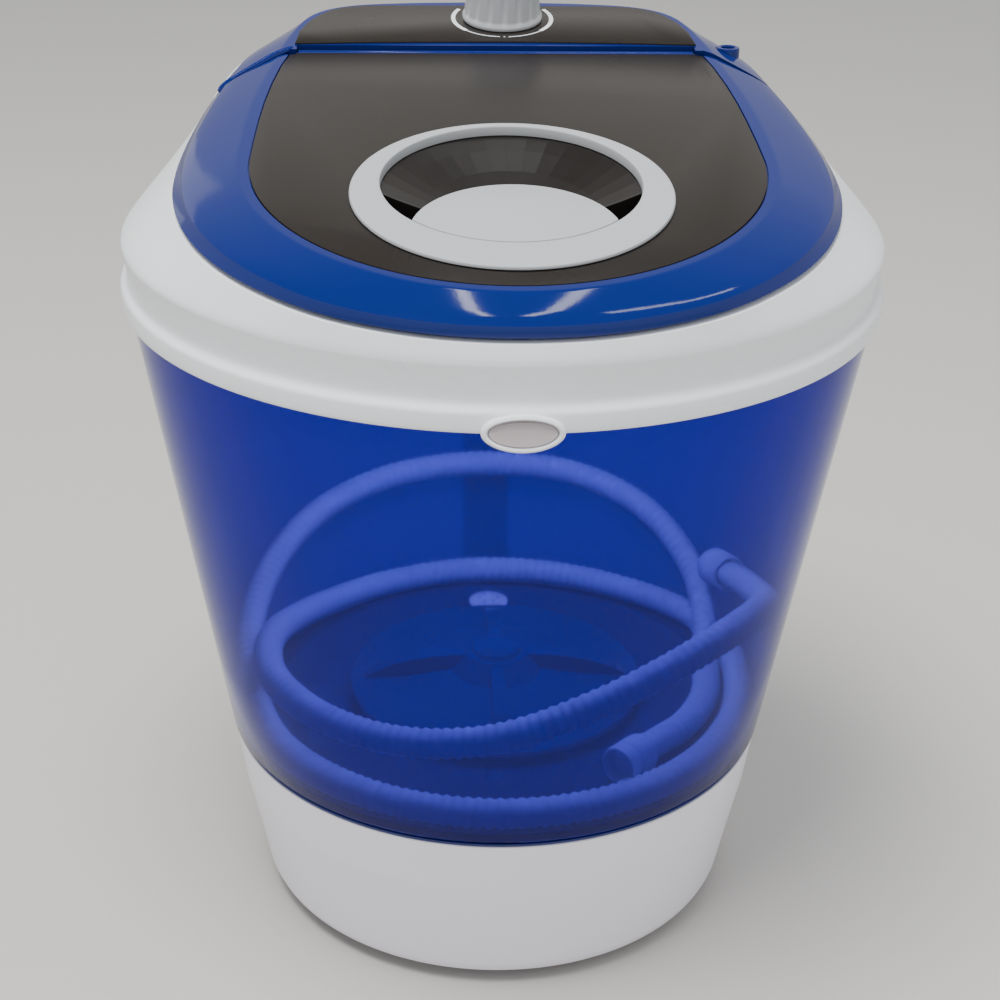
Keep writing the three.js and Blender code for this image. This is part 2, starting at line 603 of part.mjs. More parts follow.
function overlayOutline(shrink) {
  const points = [];
  for (let i = 0; i <= 10; i++) {
    const t = i / 5 - 1;
    points.push([(101 - shrink) * t, 97 - 3.2 * t * t + shrink]);
  }
  const rear = 146 - shrink;
  const side = [[99.2, 110], [95, 123], [90, 132], [84.5, 138.5], [77, 143], [67, 145.4], [56, 146]];
  side.forEach(([u, v]) => points.push([u - shrink, Math.min(v, rear)]));
  side.reverse().forEach(([u, v]) => points.push([shrink - u, Math.min(v, rear)]));
  return points;
}

function makeControls() {
  const share = [
    [-171, 29.2], [-104.3, 87.9], [-100, 87.9], [-100, 93.4], [100, 93.4], [100, 87.9], [104.3, 87.9], [171, 29.2],
    [171, 220], [-171, 220],
  ];
  const innerShare = [[-168, 36], [-109, 97], [109, 97], [168, 36], [168, 220], [-168, 220]];
  const cavity = dome(HOUSING_TOP, 2.6).intersect(solid(onDeck(prism(innerShare, -20, HOUSING_TOP - 2.6))));
  let housing = dome(HOUSING_TOP, 0).intersect(solid(onDeck(prism(share, -20, 40)))).subtract(cavity);
  housing = housing.subtract(solid(onDeck(bar(3.6, 0, 30, KNOB_U, KNOB_V, 16))));
  housing = housing.subtract(solid(bar(6.5, 380, 440, SPOUT_U, SPOUT_Y, 16)));
  for (const side of [-1, 1]) {
    const bore = bar(1.4, 96, 107, 0, 0, 12).rotateY(side * Math.PI / 2).translate(0, HINGE_V, HINGE_W);
    housing = housing.subtract(solid(onDeck(bore)));
  }
  add("control_housing", housing, blue);

  const overlay = solid(onDeck(prism(overlayOutline(0), HOUSING_TOP + GAP, HOUSING_TOP + 1.1)))
    .subtract(solid(onDeck(bar(3.6, 0, 30, KNOB_U, KNOB_V, 16))));
  add("control_overlay", overlay, charcoal);

  const body = turned([[0, -30], [22, -30], [24, -28], [24, 6], [8, 6], [8, 9.6], [3.4, 9.6], [3.4, -6], [0, -6]], 18)
    .translate(KNOB_U, KNOB_V, 0);
  add("timer_body", solid(onDeck(body)), white);
  const shaft = turned([[0, -5.6], [3, -5.6], [3, 34], [2.4, 34.6], [0, 34.6]], 14).translate(KNOB_U, KNOB_V, 0);
  add("timer_shaft", solid(onDeck(shaft)), steel);

  let knob = solid(onDeck(turned([
    [3.3, 15], [20.6, 15], [20.6, 17], [19.9, 18], [17.4, 39.5], [15.6, 41.6], [0, 42], [0, 35], [3.3, 35],
  ], 20).translate(KNOB_U, KNOB_V, 0)));
  for (let i = 0; i < 10; i++) {
    const a = (i + 0.5) * Math.PI / 5;
    const groove = bar(1.3, 18.6, 44, KNOB_U + 20.5 * Math.cos(a), KNOB_V + 20.5 * Math.sin(a), 6);
    knob = knob.subtract(solid(onDeck(groove)));
  }
  add("timer_knob", knob, grip);

  const spout = turned([
    [3.6, SPOUT_LOW], [6, SPOUT_LOW], [6, SPOUT_HIGH - 0.6], [5.4, SPOUT_HIGH], [3.6, SPOUT_HIGH],
  ], 16).translate(SPOUT_U, SPOUT_Y, 0);
  add("inlet_spout", solid(spout), blue);
}

// ---- badge and rear conduit ----

function ellipse(halfWidth, halfHeight, count) {
  const points = [];
  for (let i = 0; i < count; i++) {
    const a = (2 * Math.PI * i) / count;
    points.push([halfWidth * Math.cos(a), halfHeight * Math.sin(a)]);
  }
  return points;
}

function makeTrim() {
  const upright = (geometry, y, z) => solid(geometry.rotateX(Math.PI / 2).translate(0, y, z));
  const bezel = upright(prism(ellipse(17.2, 8.3, 28), 0, 2.6), -181.4, 327)
    .subtract(upright(prism(ellipse(14.4, 6.2, 24), 1.2, 4), -181.4, 327));
  add("badge_bezel", bezel, white);
  add("badge_plate", upright(prism(ellipse(14, 5.8, 24), 1.5, 3), -181.4, 327), steel);

  const side = new THREE.Shape();
  side.moveTo(-139.9, 80);
  side.lineTo(-154, 84);
  side.lineTo(-184.4, 318);
  side.lineTo(-184.4, 324.6);
  side.lineTo(-178.4, 324.6);
  side.lineTo(-140.2, 98);
  side.closePath();
  const depth = 26;
  const outer = solid(new THREE.ExtrudeGeometry(side, { depth, bevelEnabled: false })
    .rotateX(Math.PI / 2).rotateZ(-Math.PI / 2).translate(depth / 2, 0, 0));
  const core = new THREE.Shape();
  core.moveTo(-136, 83);
  core.lineTo(-151, 86);
  core.lineTo(-181.8, 316);
  core.lineTo(-176, 316);
  core.closePath();
  const hollow = solid(new THREE.ExtrudeGeometry(core, { depth: depth - 5, bevelEnabled: false })
    .rotateX(Math.PI / 2).rotateZ(-Math.PI / 2).translate(depth / 2 - 2.5, 0, 0));
  const tubSpace = solid(turned([[0, 70], [138.4, 70], [139.2, 96], [TUB_RADIUS + 40.2, 331.6], [0, 331.6]]));
  add("rear_conduit", outer.subtract(hollow).subtract(tubSpace), tubBlue);
}

makeBase();
makeDrive();
makeServices();
makeTub();
makeHose();
makeCollar();
makeLid();
makeControls();
makeTrim();

export default group;
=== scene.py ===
"""Portable mini washer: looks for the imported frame. Sizes are millimetres, turned to metres in one place."""
import json
import math

import bmesh
import bpy
import numpy as np
from mathutils import Matrix, Vector


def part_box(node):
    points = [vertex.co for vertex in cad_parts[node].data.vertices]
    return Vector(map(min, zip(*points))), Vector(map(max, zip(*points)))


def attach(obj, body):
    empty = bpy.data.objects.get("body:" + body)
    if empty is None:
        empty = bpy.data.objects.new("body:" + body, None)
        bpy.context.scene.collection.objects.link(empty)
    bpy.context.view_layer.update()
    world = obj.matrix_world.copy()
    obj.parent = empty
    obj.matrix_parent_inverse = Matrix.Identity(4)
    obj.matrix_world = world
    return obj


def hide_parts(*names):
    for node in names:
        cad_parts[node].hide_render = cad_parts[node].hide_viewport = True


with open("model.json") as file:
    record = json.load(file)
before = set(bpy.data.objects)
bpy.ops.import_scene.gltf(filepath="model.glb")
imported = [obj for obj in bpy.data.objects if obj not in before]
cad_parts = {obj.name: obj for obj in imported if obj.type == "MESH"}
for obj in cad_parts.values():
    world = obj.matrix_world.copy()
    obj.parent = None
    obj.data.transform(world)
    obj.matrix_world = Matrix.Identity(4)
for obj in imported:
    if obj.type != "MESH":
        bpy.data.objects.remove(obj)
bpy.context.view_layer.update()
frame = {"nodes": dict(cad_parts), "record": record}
MM = 0.001

# ---- driving sizes, as in the frame ----
DECK_TILT = math.radians(8.82)
DECK_HEIGHT = 391.9
LIP = 6.5
BORDER = 12.0
HOUSING_TOP = 13.4
HINGE_V, HINGE_W = 89.7, 9.6
RING_V, RING_RADIUS = -73.0, 71.0
GRIP_V, GRIP_RADIUS = -64.0, 57.6
LENS_V, LENS_RADIUS = -112.2, 45.2
KNOB_U = 4.4
KNOB_V = 128.0
TUB_FLOOR, TUB_RIM, TUB_RADIUS, TUB_FLARE = 95.6, 327.9, 138.8, 0.168
COLLAR_LOW, COLLAR_TOP = 325.7, 354.5
HOSE_DIAMETER = 15.0
SIDES = 240  # points round a large outline

SEAT_OUTLINE = [
    (0, -181), (42, -176), (83, -160), (114, -135), (133, -110), (144.5, -84), (151, -55), (152, -30),
    (149.5, 0), (144.8, 35), (139.5, 68), (132.5, 98), (119, 129), (101, 149), (70, 161), (35, 166.5),
    (0, 168)]
FOOT_OUTLINE = [
    (0, -179.5), (42, -174.5), (82, -158.5), (112, -134.5), (131, -110), (143, -84), (149.5, -55),
    (150.3, -30), (148, 0), (143, 35), (137.8, 62), (132.5, 86), (126.5, 102), (117.5, 117.5), (109, 130.5),
    (98, 146), (78, 157), (45, 163), (0, 165)]
LIP_OUTLINE = [
    (0, -178.5), (41, -173.5), (80, -158), (109, -134), (127, -110), (139, -84), (145.3, -55),
    (146.3, -30), (144, 0), (139, 35), (133.8, 62), (128.6, 85.5), (122.6, 101.5), (113.6, 117), (105, 130),
    (94.5, 143), (76, 152.6), (44, 158.4), (0, 160.5)]
BORDER_OUTLINE = [
    (0, -160), (42, -152.4), (80, -129.4), (103.5, -101.5), (117, -71), (121.5, -42), (121, -10), (118.8, 22),
    (115.5, 47), (111.5, 70), (107, 92), (102.8, 110), (98.6, 124), (93.8, 134), (86, 142), (73, 148),
    (50, 151.5), (25, 153), (0, 153.5)]
OPENING_OUTLINE = [
    (0, -166), (51, -156), (93, -127.6), (120, -86), (131, -45), (131, 0), (127, 20), (122, 42), (118, 60),
    (112, 70), (104, 72.2), (70, 72), (35, 72), (0, 72)]

# The drain hose lies loose in the tub, about two turns round the wall: (degrees, radius, height).
HOSE_ROUTE = [
    (-57, 108.6, 109.8), (-44, 105.6, 109.4), (-30, 108.4, 108.4), (-12, 111, 107.6), (4, 113, 109.6),
    (18, 122, 121), (32, 132.5, 134), (49, 137, 153), (68, 138.5, 163.5), (90, 138.5, 166), (112, 138.2, 164),
    (132, 137, 157), (150, 134.8, 145.5), (170, 131.6, 130), (188, 128.8, 116.5), (206, 128.4, 107.6),
    (228, 128.4, 107.2), (250, 128.4, 107.2), (272, 128.4, 107.2), (294, 128.4, 107.2), (316, 128.4, 107.2),
    (338, 128.6, 107.2), (360, 128.8, 107.2), (376, 128.8, 107.2), (392, 127, 107.2), (412, 121, 107.2),
    (434, 118.5, 107.2), (456, 118, 107.2), (480, 117.5, 107.5), (502, 115.5, 112), (522, 114, 121.5),
    (540, 115.4, 133.5), (555, 121.5, 140.5), (572, 130, 145), (590, 134.6, 145.5), (608, 135.8, 146.5),
    (627, 137.2, 154), (646, 139.6, 169.5), (664, 142, 182.5), (680, 142.4, 186), (697, 140, 177),
    (712, 136.2, 163), (726, 133, 153), (740, 131, 145.5)]


# ---- camera ----

def make_camera():
    place = Vector((-47.66, -909.75, 650.37)) * MM
    forward = Vector((0.04781, 0.89871, -0.43592)).normalized()
    roll = math.radians(0.93)
    right = forward.cross(Vector((0, 0, 1))).normalized()
    up = right.cross(forward)
    right, up = (right * math.cos(roll) + up * math.sin(roll), up * math.cos(roll) - right * math.sin(roll))
    data = bpy.data.cameras.new("camera")
    data.sensor_width = 36.0
    data.lens = 71.64
    camera = bpy.data.objects.new("camera", data)
    camera.matrix_world = Matrix.Translation(place) @ Matrix((right, up, -forward)).transposed().to_4x4()
    bpy.context.scene.collection.objects.link(camera)
    bpy.context.scene.camera = camera


# ---- mesh helpers: points are in millimetres ----

def mesh_object(name, vertices, faces, material, body="cabinet", slot=None, sharp=35):
    mesh = bpy.data.meshes.new(name)
    mesh.from_pydata([tuple(c * MM for c in v) for v in vertices], [], faces)
    mesh.validate()
    mesh.update()
    piece = bpy.data.objects.new(name, mesh)
    bpy.context.scene.collection.objects.link(piece)
    finish_piece(piece, material, body, sharp)
    return piece


def finish_piece(piece, material, body, sharp):
    face_outwards(piece.data)
    piece.data.shade_smooth()
    piece.data.set_sharp_from_angle(angle=math.radians(sharp))
    piece.data.materials.clear()
    piece.data.materials.append(material)
    if body:
        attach(piece, body)


def face_outwards(mesh):
    work = bmesh.new()
    work.from_mesh(mesh)
    bmesh.ops.recalc_face_normals(work, faces=work.faces)
    work.to_mesh(mesh)
    work.free()


def ring_faces(count, rings, closed):
    faces = []
    for k in range(rings if closed else rings - 1):
        a0, b0 = k * count, ((k + 1) % rings) * count
        for i in range(count):
            j = (i + 1) % count
            faces.append((a0 + i, a0 + j, b0 + j, b0 + i))
    return faces


def loft(name, rings, material, closed=False, **keep):
    """Skin through rings of matching points; capped at both ends unless it closes on itself."""
    count = len(rings[0])
    vertices = [tuple(p) for ring in rings for p in ring]
    faces = ring_faces(count, len(rings), closed)
    if not closed:
        faces.append(tuple(range(count)))
        faces.append(tuple(range((len(rings) - 1) * count, len(rings) * count)))
    return mesh_object(name, vertices, faces, material, **keep)


def soften(points, radius, steps=4, closed=True):
    """A polyline with each corner rounded off."""
    points = [np.array(p, float) for p in points]
    last = len(points) if closed else len(points) - 1
    out = [] if closed else [points[0]]
    for i in range(0 if closed else 1, last):
        before, here, after = points[i - 1], points[i], points[(i + 1) % len(points)]
        reach = min(radius, 0.45 * np.linalg.norm(before - here), 0.45 * np.linalg.norm(after - here))
        a = here + (before - here) / np.linalg.norm(before - here) * reach
        b = here + (after - here) / np.linalg.norm(after - here) * reach
        for t in np.linspace(0, 1, steps + 1):
            out.append((1 - t) ** 2 * a + 2 * t * (1 - t) * here + t ** 2 * b)
    if not closed:
        out.append(points[-1])
    return [tuple(p) for p in out]


def circle(radius, z, count=SIDES, centre=(0, 0)):
    a = np.arange(count) * 2 * math.pi / count
    return np.stack([centre[0] + radius * np.sin(a), centre[1] - radius * np.cos(a),
                     np.full(count, float(z))], 1)


def turned_rings(profile, count=SIDES, centre=(0, 0)):
    return [circle(max(r, 0.01), z, count, centre) for r, z in profile]


def deck(points):
    """Deck coordinates (across, along, above) to the part's frame."""
    p = np.asarray(points, float)
    c, s = math.cos(DECK_TILT), math.sin(DECK_TILT)
    return np.stack([p[:, 0], p[:, 1] * c - p[:, 2] * s, DECK_HEIGHT + p[:, 1] * s + p[:, 2] * c], 1)


def smooth_closed(knots, count):
    """A closed centripetal Catmull-Rom curve."""
    knots = np.array(knots, float)
    n = len(knots)
    out = []
    for i in range(n):
        p0, p1, p2, p3 = knots[i - 1], knots[i], knots[(i + 1) % n], knots[(i + 2) % n]
        out.append(curve_span(p0, p1, p2, p3, count // n + 1))
    return np.concatenate(out)


def curve_span(p0, p1, p2, p3, steps):
    d = [max(np.linalg.norm(b - a) ** 0.5, 1e-6) for a, b in ((p0, p1), (p1, p2), (p2, p3))]
    m1 = ((p1 - p0) / d[0] - (p2 - p0) / (d[0] + d[1]) + (p2 - p1) / d[1]) * d[1]
    m2 = ((p2 - p1) / d[1] - (p3 - p1) / (d[1] + d[2]) + (p3 - p2) / d[2]) * d[1]
    t = (np.arange(steps) / steps)[:, None]
    return (2 * t ** 3 - 3 * t ** 2 + 1) * p1 + (t ** 3 - 2 * t ** 2 + t) * m1 \
        + (3 * t ** 2 - 2 * t ** 3) * p2 + (t ** 3 - t ** 2) * m2


def whole_outline(half, count=SIDES):
    """The full outline of a symmetrical shape, one point per even angle about the middle."""
    knots = list(half) + [(-x, y) for x, y in half[-2:0:-1]]
    dense = smooth_closed(knots, 1600)
    angle = np.unwrap(np.arctan2(dense[:, 0], -dense[:, 1]))
    radius = np.hypot(dense[:, 0], dense[:, 1])
    order = np.argsort(angle)
    wanted = np.arange(count) * 2 * math.pi / count
    r = np.interp(wanted, angle[order], radius[order], period=2 * math.pi)
    return np.stack([r * np.sin(wanted), -r * np.cos(wanted)], 1)


def shrunk(outline, distance):
    r = np.hypot(outline[:, 0], outline[:, 1])[:, None]
    return outline * (1 - distance / r)


def level(outline, w):
    return np.column_stack([outline, np.full(len(outline), float(w))])


def plate_rings(outline, low, high, edge=0.5):
    """A flat plate on the deck with a softened upper edge, from its outline of (across, along)."""
    outline = np.array(outline, float)
    ahead, behind = np.roll(outline, -1, 0), np.roll(outline, 1, 0)
    along = ahead - behind
    inward = np.stack([-along[:, 1], along[:, 0]], 1) / np.linalg.norm(along, axis=1)[:, None]
    area = np.sum(outline[:, 0] * ahead[:, 1] - ahead[:, 0] * outline[:, 1])
    inward *= 1 if area > 0 else -1
    steps = [(0, low), (0, high - edge), (edge * 0.3, high - edge * 0.3), (edge, high)]
    return [deck(level(outline + inward * d, w)) for d, w in steps]


def arc(radius, centre, start, stop, count):
    return [(centre[0] + radius * math.cos(a), centre[1] + radius * math.sin(a))
            for a in np.linspace(math.radians(start), math.radians(stop), count)]


def boolean(piece, cutter, operation):
    modifier = piece.modifiers.new("cut", "BOOLEAN")
    modifier.operation = operation
    modifier.object = cutter
    modifier.solver = "EXACT"
    view = bpy.context.evaluated_depsgraph_get()
    mesh = bpy.data.meshes.new_from_object(piece.evaluated_get(view))
    piece.modifiers.clear()
    piece.data = mesh
    bpy.data.objects.remove(cutter)


def cutter_prism(outline, low, high):
    rings = [deck(level(np.array(outline, float), w)) for w in (low, high)]
    return loft("cutter", rings, MATERIALS["frame_blue"], body=None)


# ---- materials ----

def plastic(name, color, roughness, grain=0.04, scale=900.0, coat=0.0, metallic=0.0, mottle=0.0):
    """A moulded surface with a fine grain in its gloss and relief."""
    material = bpy.data.materials.new(name)
    material.use_nodes = True
    nodes, links = material.node_tree.nodes, material.node_tree.links
    shader = nodes["Principled BSDF"]
    shader.inputs["Base Color"].default_value = (*color, 1)
    shader.inputs["Roughness"].default_value = roughness
    shader.inputs["Metallic"].default_value = metallic
    shader.inputs["Coat Weight"].default_value = coat
    shader.inputs["Coat Roughness"].default_value = 0.06
    place = nodes.new("ShaderNodeTexCoord")
    noise = nodes.new("ShaderNodeTexNoise")
    noise.inputs["Scale"].default_value = scale
    noise.inputs["Detail"].default_value = 3
    bump = nodes.new("ShaderNodeBump")
    bump.inputs["Strength"].default_value = grain
    bump.inputs["Distance"].default_value = 0.0004
    links.new(place.outputs["Object"], noise.inputs["Vector"])
    links.new(noise.outputs["Fac"], bump.inputs["Height"])
    links.new(bump.outputs["Normal"], shader.inputs["Normal"])
    spread = nodes.new("ShaderNodeMapRange")
    spread.inputs["To Min"].default_value = max(0.02, roughness - 0.05)
    spread.inputs["To Max"].default_value = roughness + 0.05
    broad = nodes.new("ShaderNodeTexNoise")
    broad.inputs["Scale"].default_value = 14
    links.new(place.outputs["Object"], broad.inputs["Vector"])
    links.new(broad.outputs["Fac"], spread.inputs["Value"])
    links.new(spread.outputs["Result"], shader.inputs["Roughness"])
    if mottle:
        ramp = nodes.new("ShaderNodeMix")
        ramp.data_type = "RGBA"
        ramp.inputs["A"].default_value = (*[c * (1 - mottle) for c in color], 1)
        ramp.inputs["B"].default_value = (*[min(1, c * (1 + mottle)) for c in color], 1)
        links.new(broad.outputs["Fac"], ramp.inputs["Factor"])
        links.new(ramp.outputs["Result"], shader.inputs["Base Color"])
    return material


def tinted_plastic():
    """The clear blue wall of the tub: light goes through, with a little haze; its blue is painted darker towards
    the outline as painted shade.
    """
    material = plastic("tub_blue", (0.035, 0.042, 0.48), 0.07, 0.02, 12)
    nodes, links = material.node_tree.nodes, material.node_tree.links
    shader = nodes["Principled BSDF"]
    # Painted shade: the blue is mixed darker and more violet where the wall turns away from view, towards its
    # outline.
    facing = nodes.new("ShaderNodeLayerWeight")
    facing.inputs["Blend"].default_value = 0.3
    painted_edge_shade = nodes.new("ShaderNodeMix")
    painted_edge_shade.data_type = "RGBA"
    painted_edge_shade.inputs["A"].default_value = (0.07, 0.075, 0.58, 1)
    painted_edge_shade.inputs["B"].default_value = (0.03, 0.022, 0.34, 1)
    links.new(facing.outputs["Facing"], painted_edge_shade.inputs["Factor"])
    links.new(painted_edge_shade.outputs["Result"], shader.inputs["Base Color"])
    shader.inputs["Transmission Weight"].default_value = 0.82
    shader.inputs["IOR"].default_value = 1.14
    return material


MATERIALS = {
    "white_body": plastic("white_body", (0.86, 0.88, 0.9), 0.28, 0.03, 700, 0.1, mottle=0.015),
    "base_white": plastic("base_white", (0.87, 0.84, 0.91), 0.3, 0.03, 700, 0.1, mottle=0.015),
    "tub_blue": tinted_plastic(),
    "frame_blue": plastic("frame_blue", (0.004, 0.014, 0.125), 0.075, 0.02, 500, 0.0),
    "charcoal_panel": plastic("charcoal_panel", (0.017, 0.014, 0.012), 0.28, 0.12, 1800, 0.0, mottle=0.06),
    "gloss_black": plastic("gloss_black", (0.015, 0.013, 0.012), 0.28, 0.02, 300, 0.0),
    "grip_grey": plastic("grip_grey", (0.4, 0.41, 0.42), 0.36, 0.03, 900, 0.05, mottle=0.02),
    "hose_plastic": plastic("hose_plastic", (0.6, 0.65, 0.72), 0.45, 0.04, 500),
    "rubber_black": plastic("rubber_black", (0.02, 0.02, 0.022), 0.7, 0.3, 900),
    "steel": plastic("steel", (0.6, 0.61, 0.63), 0.28, 0.08, 400, metallic=1.0),
    "motor_paint": plastic("motor_paint", (0.12, 0.13, 0.15), 0.4, 0.1, 600, metallic=0.4),
    "badge_silver": plastic("badge_silver", (0.58, 0.52, 0.55), 0.25, 0.25, 1500, 1.0, 0.9, mottle=0.2),
    "print_white": plastic("print_white", (0.75, 0.76, 0.78), 0.4, 0.02, 900),
}


def dress_frame():
    """Every carried-over CAD node gets its slot's procedural surface and soft shading."""
    for part in frame["record"]["subparts"]:
        node = frame["nodes"][part["node"]]
        node.data.materials.clear()
        node.data.materials.append(MATERIALS[part["material_slot"]])
        node.data.shade_smooth()
        node.data.set_sharp_from_angle(angle=math.radians(32))


# ---- hose ----

def hose_line(step):
    """Points along the hose's middle at an even step."""
    knots = [np.array([r * math.cos(math.radians(a)), r * math.sin(math.radians(a)), z])
             for a, r, z in HOSE_ROUTE]
    knots = [2 * knots[0] - knots[1]] + knots + [2 * knots[-1] - knots[-2]]
    dense = [curve_span(*knots[i:i + 4], 24) for i in range(len(knots) - 3)]
    line = np.concatenate(dense + [knots[-2][None]])
    run = np.concatenate([[0], np.cumsum(np.linalg.norm(np.diff(line, axis=0), axis=1))])
    wanted = np.arange(0, run[-1], step)
    return np.stack([np.interp(wanted, run, line[:, k]) for k in range(3)], 1), run[-1]


def make_hose():
    pitch = 5.2
    line, length = hose_line(pitch / 4)
    ahead = np.gradient(line, axis=0)
    ahead /= np.linalg.norm(ahead, axis=1)[:, None]
    normal = np.cross(ahead[0], (0, 0, 1))
    rings = []
    count = 18
    turn = np.arange(count) * 2 * math.pi / count
    for i, (here, way) in enumerate(zip(line, ahead)):
        normal = normal - way * normal.dot(way)
        normal /= np.linalg.norm(normal)
        side = np.cross(way, normal)
        radius = HOSE_DIAMETER / 2 - (0.0, 0.55, 1.1, 0.55)[i % 4]
        rings.append(here + radius * (np.cos(turn)[:, None] * normal + np.sin(turn)[:, None] * side))
    hose = loft("corrugated_hose", rings, MATERIALS["hose_plastic"], slot="hose_plastic", sharp=80)
    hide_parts("drain_hose")
    for i, (end, inner) in enumerate(((line[0], line[6]), (line[-1], line[-7]))):
        way = (inner - end) / np.linalg.norm(inner - end)
        make_cuff(i + 1, end - way * 5.5, way)


def make_cuff(index, start, way):
    profile = soften([(7.0, 2), (8.6, 0), (10.1, 0.4), (10.1, 5), (9.4, 6), (9.4, 8), (10.1, 9), (10.1, 12),
                      (9.4, 13), (9.4, 15), (10.0, 16), (9.7, 19.5), (8.4, 20), (7.6, 18)], 0.5)
    turn = Vector((0, 0, 1)).rotation_difference(Vector(way)).to_matrix()
    rings = [[tuple(turn @ Vector(p) + Vector(start)) for p in ring] for ring in turned_rings(profile, 40)]
    cuff = loft(f"hose_end_{index}", rings, MATERIALS["hose_plastic"], closed=True, slot="hose_plastic")
    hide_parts(f"hose_cuff_{index}")
    return cuff


# ---- tub and base ----

def tub_radius(z):
    return TUB_RADIUS + TUB_FLARE * (z - TUB_FLOOR)


def make_tub():
    wall = [(tub_radius(z), z) for z in np.linspace(98, TUB_RIM, 6)]
    inner = [(r - 2.5, z) for r, z in reversed(wall)][:-1]
    profile = [(8, TUB_FLOOR), (136, TUB_FLOOR), (138, 96.4)] + wall + inner + [(136.6, 103), (135, 100),
        (132, 98.9), (8, 98.9)]
    tub = loft("tub_wall", turned_rings(profile), MATERIALS["tub_blue"], closed=True, slot="tub_blue",
               sharp=50)
    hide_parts("tub_shell")
    seam = soften([(122, 93.8), (137.6, 93.8), (137.6, 95.3), (122, 95.3)], 0.4)
    gasket = loft("seam_gasket", turned_rings(seam), MATERIALS["frame_blue"], closed=True, slot="frame_blue")
    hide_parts("tub_gasket")


def make_base():
    outer = [(118.6, 6.2), (121.3, 7.6), (123.3, 12), (127.8, 36), (134, 66), (137.7, 91.6), (138.0, 93.2),
             (137.2, 93.6),
             (117, 93.5)]
    inner = [(117, 91), (134.4, 90.8), (131.4, 66), (125.2, 36), (120.6, 13), (118, 8.8)]
    profile = soften(outer + inner, 1.2)
    base = loft("base_shell", turned_rings(profile), MATERIALS["base_white"], closed=True, slot="base_white",
                sharp=40)
    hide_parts("base_housing")


# ---- collar ----

def slope(radius, low, seat, top, shares):
    start = circle(radius, low, len(seat))
    end = deck(level(seat, top))
    rise = np.minimum(2.5, (end[:, 2] - low) * 0.4)[:, None] * np.array([[0, 0, 1]])
    first = start + rise
    second = first + (end - first) * 0.12
    return [(1 - t) ** 3 * start + 3 * t * (1 - t) ** 2 * first + 3 * t * t * (1 - t) * second + t ** 3 * end
            for t in shares]


def make_collar():
    seat = whole_outline(SEAT_OUTLINE)
    opening = whole_outline(OPENING_OUTLINE)
    skirt = [(178.6, COLLAR_LOW + 0.3), (179.4, COLLAR_LOW), (180.4, COLLAR_LOW + 0.2),
             (180.9, COLLAR_LOW + 0.9),
             (181, 327.5), (181, 333.6), (180.8, 334.7), (180.2, 335.5), (179.4, 336.1), (178.2, 336.9),
             (177.5, 337.8),
             (177.2, 339), (177.3, 341), (178.4, 347.6), (179.3, 352.8), (179.45, 353.6)]
    rings = turned_rings(skirt)
    rings += slope(179.6, COLLAR_TOP, shrunk(seat, 0.9), -1.1, np.linspace(0, 1, 20))
    rings += [deck(level(shrunk(seat, 1.8), -1.0)), deck(level(shrunk(seat, 5), -1.0))]
    rings += [deck(level(shrunk(opening, -1.5), -1.0)), deck(level(shrunk(opening, -0.4), -1.3)),
              deck(level(opening, -2.2)), deck(level(shrunk(opening, -0.6), -3.5))]
    rings += slope(176.4, COLLAR_TOP - 2, shrunk(seat, 3.8), -3.5, [1, 0.7, 0.45, 0.2])
    rings += turned_rings([(174.6, 340), (174.4, 330), (174.4, 328.4), (178.4, 328.4)])
    collar = loft("collar_shell", rings, MATERIALS["white_body"], closed=True, slot="white_body", sharp=40)
    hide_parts("top_collar")


# ---- lid and control housing ----

def dome_rings(top, inset=0.0):
    foot, lip, border = (shrunk(whole_outline(o), inset) for o in (FOOT_OUTLINE, LIP_OUTLINE, BORDER_OUTLINE))
    if inset:
        return [deck(level(foot, -3)), deck(level(lip, LIP - inset * 0.9)), deck(level(border, top - 2.4))]
    rings = [level(shrunk(foot, 2.6), -0.5), level(shrunk(foot, 1.8), 0.8), level(shrunk(foot, 0.5), 1.0),
             level(shrunk(foot, 0.1), 1.5), level(shrunk(lip, -0.3), LIP - 1.6),
             level(shrunk(lip, 0.4), LIP - 0.4), level(shrunk(lip, 1.8), LIP + 0.25)]
    for t in (0.2, 0.4, 0.6, 0.8, 0.93, 0.985):
        bulge = 0.25 * math.sin(math.pi * t)
        rings.append(level(lip * (1 - t) + border * t, LIP + (top - LIP) * t + bulge))
    rings += [level(shrunk(border, 0.35), top), level(shrunk(border, 1.2), top),
              level(shrunk(border, 4.5), top)]
    return [deck(r) for r in rings]


def panel_outline(shrink):
    r = 116.4 - shrink
    points = arc(r, (0, -39.5), 180, 360, 90)
    side = [(115.8, -20), (114.6, 4), (113, 26), (110.6, 48), (107.2, 70), (104, 84.6), (98.6, 86.6)]
    right = [(x - shrink, y - (shrink if y > 80 else 0)) for x, y in side]
    return points + right + [(-x, y) for x, y in reversed(right)]


